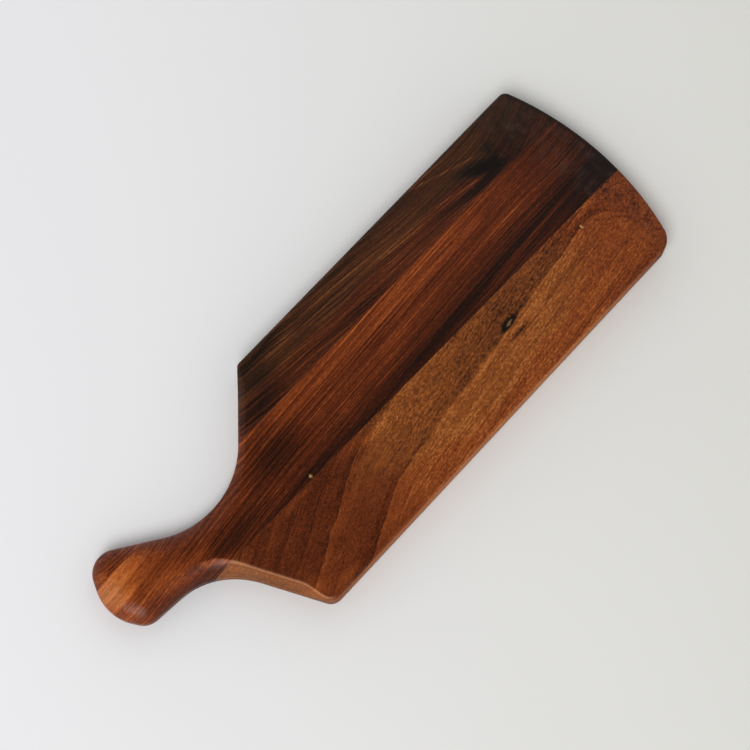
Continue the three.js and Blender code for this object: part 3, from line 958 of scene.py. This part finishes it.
# %% [markdown]
# ## The fork and the cheek
# At the fork the grain bends upwards round a black flame. A wedge of redder wood lies below the surface,
# and the bevel and the rolled end cut into it. The cheek on the bulb is the same stave and shows that
# redder wood alone. One material serves both, because it reads its place along the stave.

# %% Figure of the dark stave
DARK_LENGTHS = (240, 110, 50)  # of bands, lines and hairs
FORK, FORK_SOFTNESS = 172, 17.32
CALM_END, CALM_CHEEK = (150, 190), (-120, -170)  # along x, where the stripes are weaker
CHEEK, RED_END = (-120, -150), (150, 210)
OLIVE_SIDE, OLIVE_START, OUTER_EDGE = (51, 58), (-150, -100), (65, 75)
ROLL_SHADE = (30, 9)  # distance in from the crowned end, and half width
WEDGE_SIDE = 39  # where the redder wood meets the top face, across the board


def dark_walnut():
    material = new_material("dark walnut")
    x, y, z = stave_space(material.node_tree)
    depth, far = FACE - z, inset(x, y)
    waver = noise(x / 70, y / 18, z / 18) * 5
    across = y + x * 0.1 - bend(x - FORK, FORK_SOFTNESS) * 0.4 - depth * 0.5 + waver
    bands, lines, hairs, threads, grit = fibres(x, across, depth, DARK_LENGTHS)
    cheek = x.rise(*CHEEK)
    calm = x.rise(*CALM_END) + x.rise(*CALM_CHEEK)
    stripes = (bands * 0.55 + lines + hairs * 0.85) * (1 - calm * 0.5)
    tone = 0.47 + stripes + threads * 0.5 + grit * 0.5 - y.rise(*OUTER_EDGE) * 0.06
    tone = clouded(tone, x + waver, y + waver * 0.5 + grit * 3, DARK_CLOUDS)
    for start, stop, width, strength in ORANGE_VEINS:
        tone = tone + vein(x, y + waver * 0.3, start, stop, width) * (lines * 0.6 + strength)
    # the end grain is darker, and painted shade darkens the far arris and the roll
    tone = tone - far.rise(*END_GRAIN) * 0.14 - line_at(far, *ROLL_SHADE) * 0.04
    olive = (y + waver).rise(*OLIVE_SIDE) * x.rise(*OLIVE_START)
    figure = blend(olive, ramp(tone, DARK_STOPS), ramp(tone, OLIVE_STOPS))
    wedge = (y - WEDGE_SIDE - depth * 2 + lines * 10).rise(1.5, -1.5)
    redder = (wedge * (1 - cheek)).at_least(cheek)
    colour = blend(redder, figure, ramp(tone + 0.05 - x.rise(*RED_END) * 0.25, RED_STOPS))
    colour = blend(painted_end_sheen(far, x, y, z), colour, SHEEN_GREY)
    finish_wood(material, colour, threads, satin(x, depth, far, lines))
    return material


print("the grain forks at", FORK, "mm")

# %% [markdown]
# ## Rings of the pale stave
# The pale stave is cut flat across the rings. They show as long arches that sweep down to the shoulder at
# one end and close before the crown at the other. Each ring starts light and darkens until the next one.
# A wave texture would repeat them evenly, but one ring here is about three times as wide as the next. So
# the distance below the main arch is divided by each ring's own width.

# %% Rings of the pale stave
NARROW_RING, WIDE_RING, EARLY_RING = 10.5, 34, 14
ARCH_HEIGHT, ARCH_SLOPE = -48.5, 0.125
SWEEP_START, SWEEP_SOFTNESS, CLOSING_START = -38, 8, 180


def pale_rings(x, y, depth, waver):
    """How far a place lies below the main arch, and how many rings away from it."""
    sweep = bend(SWEEP_START - x, SWEEP_SOFTNESS)
    closing = (x - CLOSING_START).at_least(0)
    arch = x * ARCH_SLOPE + ARCH_HEIGHT - sweep * 0.36 - closing * closing * 0.036
    below = arch - y + depth * 1.2 + waver
    wide = below.at_most(0).at_least(-WIDE_RING) / WIDE_RING
    rings = below.at_least(0) / NARROW_RING + wide + (below + WIDE_RING).at_most(0) / EARLY_RING
    return below, rings


def ring_shades(rings, under_arch):
    """Light at the start of each ring and dark at its end, weaker below the arch and in the early rings."""
    early = rings.rise(-0.99, -1.01)
    ripeness = rings.math("FRACT")
    fresh = (1 - ripeness) ** 3
    ripe = ripeness ** 4 + ripeness ** 16 * 0.6
    light = fresh * (0.1 - under_arch * 0.06 - early * 0.06)
    return light - ripe * (0.11 - under_arch * 0.05 - early * 0.03) - early * 0.08


print("ring widths, mm:", NARROW_RING, WIDE_RING, EARLY_RING)

# %% [markdown]
# ## Marks of the pale stave
# A pin knot sits on the main arch: a pale heart in a black ring, with a smear beside it and a thin tail.
# The knot runs down through the stave, and the smear stays near the surface. A broken stain crosses the
# stave just before the crown, and clouds make up for what rings and noise leave too even.

# %% Marks of the pale stave
KNOT, KNOT_HALO, KNOT_HEART = (91.5, -35.7), (12.5, 4.5), (5.2, 1.6)
SMEAR, TAIL, SHADE = ((92, -44.5), (14, 3)), ((106, -34), (12, 1.4), 0.12), ((97, -27), (16, 7))
STAIN, STAIN_SIDE = (21.7, 9), (-54, -29)  # distance in from the crowned end and half width, across
KNOT_DEPTH = (17, 6)
PALE_CLOUDS = [  # centre, half sizes, tilt and strength, above zero where the wood is lighter
    ((-146, -15), (16, 9), 0, 0.2), ((61, -42), (16, 6), 0.12, 0.26), ((35, -36), (12, 6), 0.12, 0.18),
    ((-16, -21.5), (18, 6), 0, 0.17), ((-41, -22.5), (12, 7), 0, -0.26), ((43, -68), (26, 9), 0, -0.16),
    ((120, -52.5), (24, 8), 0, -0.14), ((-35, -39.5), (12, 6), 0, 0.16), ((-92, -52), (14, 9), 0, -0.18),
    ((188, -18.5), (14, 5), 0, 0.28), ((195, -49.5), (12, 9), 0, 0.12), ((-105, -73), (20, 6), 0, 0.26),
    ((-123, -60), (9, 10), 0, 0.2), ((-91, -15), (16, 5), 0, 0.24),
]


def knot_heart(x, y, depth, curl):
    return mound(x, y + curl * 2, KNOT, KNOT_HEART, 0.12) * depth.rise(*KNOT_DEPTH)


def knot_marks(x, y, depth, curl, patches):
    """What the knot, its smear, its tail and the shade above it add to the tone."""
    halo = mound(x + curl * 3, y + curl * 2, KNOT, KNOT_HALO, 0.1) * depth.rise(*KNOT_DEPTH)
    smear = mound(x + curl * 4, y + curl * 2, *SMEAR)
    tail = mound(x, y + curl, *TAIL)
    shade = mound(x, y + patches * 12, *SHADE)
    around = (smear * 0.55 + tail * 0.2 + shade * 0.1) * depth.rise(*SHALLOW)
    return knot_heart(x, y, depth, curl).rise(0.1, 0.5) * 0.6 - halo.rise(0.05, 0.7) * 0.7 - around


def crown_stain(x, y, z, far):
    """The broken dark stain before the crown."""
    spots = noise(x / 6, y / 8, z / 8).rise(-0.05, 0.2)
    stain = line_at(far - y * 0.18, *STAIN) * (0.08 + y.rise(*STAIN_SIDE) * 0.06)
    return stain * (0.4 + spots * 2)


print("clouds on the pale stave:", len(PALE_CLOUDS))

# %% [markdown]
# ## The ground of the pale stave
# Before any ring is drawn the stave has a ground of slow changes: lighter below the main arch, dimmer
# towards the shoulder and in the far corner, and paler along the arris, where a highlight is painted. Its
# middle is tan and its ends are russet, so two ramps share the work.

# %% Ground of the pale stave
TAN_STOPS = [
    (0.0, (0.009, 0.005, 0.003)), (0.25, (0.070, 0.0188, 0.0050)), (0.5, (0.153, 0.0415, 0.0095)),
    (0.75, (0.263, 0.0735, 0.0145)), (1.0, (0.45, 0.16, 0.040)),
]
RUSSET_STOPS = [
    (0.0, (0.009, 0.004, 0.002)), (0.25, (0.069, 0.0130, 0.0032)), (0.5, (0.151, 0.0315, 0.0070)),
    (0.75, (0.262, 0.0625, 0.0122)), (1.0, (0.45, 0.145, 0.036)),
]
DIM_CORNER = ((165, -76), (60, 12))  # centre and half sizes
SHOULDER, ABOVE_ARCH, UNDER_ARCH = (-20, -65), (0, 100), (110, 205)  # along x
LONG_EDGE, LONG_ARRIS, ARRIS_FOOT = (-69, -74), (-76, -78), (6, 3)  # across, across and down


def pale_ground(x, y, depth, under_arch, closed):
    """The tone of the pale stave before its rings and its grain."""
    above = x.rise(*ABOVE_ARCH) * (1 - under_arch) * (0.11 - closed * 0.06)
    under = under_arch * (0.13 - x.rise(*UNDER_ARCH) * 0.13)
    tone = 0.57 + under - above - x.rise(*SHOULDER) * 0.18
    # a painted highlight along the long arris
    arris = y.rise(*LONG_ARRIS) * depth.rise(*ARRIS_FOOT)
    return tone - mound(x, y, *DIM_CORNER) * 0.12 - y.rise(*LONG_EDGE) * 0.06 + arris * 0.12


print("stops of the two ramps:", len(TAN_STOPS), "and", len(RUSSET_STOPS))

# %% [markdown]
# ## The pale stave
# Between the arches the fibres shimmer across the grain, and by the shoulder the open grain is speckled.
# The sides that were cut last, the bevel and the long wall, are paler than the face. They are drawn
# towards one tone, because the full figure of the face would look painted on there.

# %% Figure of the pale stave
PALE_LINE, PALE_HAIR, PALE_THREAD = (90, 1.6), (40, 0.6), (6, 0.3)  # length and width
PALE_FLECK, TAN_AREA = ((174.5, -26.5), (1.2, 2.6)), ((55, -34), (150, 46))  # centre and half sizes
CLOSED_RINGS, OPEN_GRAIN, SHIMMER = (172, 205), (-15, -60), (-60, 0)  # along x
BEVEL_START, CREASE_START, SIDE_END = (-100, -112), (-118, -126), (215, 150)
SIDE_TOP, SIDE_FOOT = (0.4, 2.2), (19.5, 16)  # depths
SIDE_TONE = 0.92
CROWN_SHADE = (24, 12)  # in from the crowned end


def pale_walnut():
    material = new_material("pale walnut")
    x, y, z = stave_space(material.node_tree)
    depth, far = FACE - z, inset(x, y)
    below, rings = pale_rings(x, y, depth, noise(x / 45, y / 14, z / 14) * 6)
    under_arch = below.rise(-0.5, 0.5)
    closed, open_grain, bevel = x.rise(*CLOSED_RINGS), x.rise(*OPEN_GRAIN), x.rise(*BEVEL_START)
    lines = layers(x, below, depth, *PALE_LINE)
    hairs = layers(x, below, depth, *PALE_HAIR, 1)
    threads = pores(x, below, depth, *PALE_THREAD)
    curl = noise((x + y) / 2.6, (y - x * 0.4) / 1.2, z / 3, 1)
    patches = noise(x / 26, y / 12, z / 20)
    speckle = noise(x / 0.9, y / 0.9, z / 0.9)
    crisp = 1 - closed * 0.8 - open_grain * under_arch * 0.4
    tone = pale_ground(x, y, depth, under_arch, closed) + ring_shades(rings, under_arch) * crisp
    tone = tone + (lines * 0.6 + hairs * 0.6) * (1 - closed * 0.6 - open_grain * 0.6)
    tone = tone + threads * (0.5 - open_grain * 0.2) + speckle * open_grain * 0.55 + patches * 0.4
    tone = tone + curl * (0.42 + x.rise(*SHIMMER) * (0.62 - under_arch * 0.17))
    tone = clouded(tone, x, y + patches * 8, PALE_CLOUDS)
    side = depth.rise(*SIDE_TOP) * depth.rise(*SIDE_FOOT) * x.rise(*SIDE_END)
    # a painted highlight along the crease of the pale bevel
    crease_highlight = painted_crease_line(depth, 1.6) * x.rise(*CREASE_START)
    tone = tone + side * (SIDE_TONE - bevel * 0.12 - tone) * 0.5 + crease_highlight * 0.25
    tone = tone + side * bevel * (speckle * 1.1 + threads * 0.4 - depth.rise(2, 8) * 0.12)
    tone = tone - crown_stain(x, y, z, far) - far.rise(*CROWN_SHADE) * 0.02
    tone = tone + knot_marks(x, y, depth, curl, patches)
    tan = mound(x, y + patches * 20, *TAN_AREA).rise(0.05, 0.4).at_least(side * (1 - bevel * 0.6))
    colour = blend(tan, ramp(tone, RUSSET_STOPS), ramp(tone, TAN_STOPS))
    # the paler sides are sanded wood, and the crease gets a painted highlight
    colour = blend((side * 0.1).at_least(crease_highlight * 0.25), colour, SANDED_AND_HIGHLIGHT)
    fleck = mound(x + curl, y, *PALE_FLECK).rise(0.1, 0.6) * depth.rise(*SHALLOW)
    cream = fleck.at_least(knot_heart(x, y, depth, curl).rise(0.1, 0.7) * 0.3)
    finish_wood(material, blend(cream, colour, CREAM), threads, satin(x, depth, far, lines))
    return material


print("the pin knot lies at", KNOT, "mm")

# %% [markdown]
# ## Set glue
# What shows of the glue is a line as thin as paper, brown from the sanding dust that was rubbed into it.
# One dark brown would do from afar, but a little noise keeps the line from looking ruled.

# %% Finish of the glue lines
GLUE_DARK, GLUE_LIGHT = (0.025, 0.010, 0.006, 1), (0.055, 0.020, 0.010, 1)
GLUE_ROUGHNESS = 0.55


def set_glue():
    material = new_material("set glue")
    x, y, z = stave_space(material.node_tree)
    dust = noise(x / 6, y / 2, z / 2)
    colour = blend(dust + 0.5, GLUE_DARK, GLUE_LIGHT)
    finish_wood(material, colour, dust, GLUE_ROUGHNESS + dust * 0.2)
    return material


print("roughness of set glue:", GLUE_ROUGHNESS)

# %% [markdown]
# ## Dressing the pieces
# Every piece gets its finish, rides on the one body of the part, and hides the packed node it stands for.

# %% Dress the pieces
finishes = {
    "dark_walnut": dark_walnut(), "red_walnut": red_walnut(),
    "pale_walnut": pale_walnut(), "set_glue": set_glue(),
}
slots = {
    "dark_stave": "dark_walnut", "handle_cheek": "dark_walnut", "handle_stave": "red_walnut",
    "pale_stave": "pale_walnut", "dark_glue_line": "set_glue", "cheek_glue_line": "set_glue",
    "pale_glue_line": "set_glue",
}
for node, piece in pieces.items():
    piece.data.materials.clear()
    piece.data.materials.append(finishes[slots[node]])
    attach(piece, "root")
    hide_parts(node)
print("dressed:", ", ".join(piece.name for piece in pieces.values()))

# %% [markdown]
# ## The floor
# The board lies on pale paper. Its colour is a painted light falloff: a brighter, cool white on the window's
# side that dims to a warmer one across the room.

# %% Lay the floor
FLOOR_SIZE = 12
FLOOR_DROP = 0.2 * MM  # keeps the paper just clear of the underside
# painted light falloff: brighter and cooler by the window, dimmer and warmer across the room
LIT_COOL_PAPER, DIM_WARM_PAPER = (0.865, 0.865, 0.885, 1), (0.75, 0.745, 0.71, 1)
PAPER_ROUGHNESS = 0.9
DRIFT_X, DRIFT_Y, DRIFT_REACH = 0.68, -0.73, 330  # the way from cool to warm, and how far it goes
reach = FLOOR_SIZE / 2
floor_mesh = bpy.data.meshes.new("floor")
floor_corners = [(-reach, -reach, 0), (reach, -reach, 0), (reach, reach, 0), (-reach, reach, 0)]
floor_mesh.from_pydata(floor_corners, [], [(0, 1, 2, 3)])
floor = bpy.data.objects.new("floor", floor_mesh)
bpy.context.scene.collection.objects.link(floor)
floor.location.z = -FLOOR_DROP
paper = new_material("pale paper")
x, y, z = stave_space(paper.node_tree)
drift = (x * DRIFT_X + y * DRIFT_Y).rise(-DRIFT_REACH, DRIFT_REACH)
sheet = paper.node_tree.nodes["Principled BSDF"]
paper.node_tree.links.new(blend(drift, LIT_COOL_PAPER, DIM_WARM_PAPER).socket, sheet.inputs["Base Color"])
sheet.inputs["Roughness"].default_value = PAPER_ROUGHNESS
floor_mesh.materials.append(paper)
print("floor:", FLOOR_SIZE, "m")

# %% [markdown]
# ## The light
# Soft daylight comes from well up on the handle's side, so the shadows fall beyond the crowned end and
# along the dark stave. One large lamp is the window, and a weak one is the wall across the room. The room
# fills the shadows and is dark overhead: a satin top that mirrors a white ceiling would lose its colour.

# %% Light it
ROOM_GLOW, CEILING_GLOW = 1.33, 0.03


def lamp(name, place, size, power, colour):
    light = bpy.data.lights.new(name, "AREA")
    light.shape = "DISK"
    light.size = size
    light.energy = power
    light.color = colour
    holder = bpy.data.objects.new(name, light)
    holder.location = place
    holder.rotation_euler = (-Vector(place)).to_track_quat("-Z", "Y").to_euler()
    bpy.context.scene.collection.objects.link(holder)
    return holder


window = lamp("window", place=(-2.45, -1.1, 3.8), size=2.8, power=120, colour=(1, 1, 1))
wall = lamp("far wall", place=(1.65, 1.0, 2.3), size=2.4, power=6, colour=(1, 0.99, 0.97))
world = bpy.data.worlds.new("room")
bpy.context.scene.world = world
world.use_nodes = True
ray = Value(world.node_tree).node("ShaderNodeTexCoord", output="Generated")
height = ray.node("ShaderNodeSeparateXYZ", None, {0: ray}).output("Z").at_least(0)
glow = (1 - height) * ROOM_GLOW + CEILING_GLOW
world.node_tree.links.new(glow.socket, world.node_tree.nodes["Background"].inputs["Strength"])
world.node_tree.nodes["Background"].inputs["Color"].default_value = (1, 1, 1, 1)
print("lamps:", window.name, "and", wall.name)

# %% [markdown]
# ## The camera
# The camera stands high above the handle's pale side and looks down steeply, as a person does who takes a
# picture of a board on the floor.

# %% Set up the camera
CAMERA_PLACE, CAMERA_TARGET = Vector((-0.2410, -0.2218, 1.3148)), Vector((0.00868, 0.0090, 0))
LENS, SENSOR = 97.44, 36
camera = bpy.data.objects.new("camera", bpy.data.cameras.new("camera"))
bpy.context.scene.collection.objects.link(camera)
camera.location = CAMERA_PLACE
camera.rotation_euler = (CAMERA_TARGET - CAMERA_PLACE).to_track_quat("-Z", "Y").to_euler()
camera.data.lens = LENS
camera.data.sensor_width = SENSOR
bpy.context.scene.camera = camera
bpy.context.scene.view_settings.view_transform = "Standard"
print("camera stands", round((CAMERA_TARGET - CAMERA_PLACE).length, 3), "m away")

# %% [markdown]
# ## One box
# The carved board stands in the same frame as the packed solids, so the two have to fill the same box.
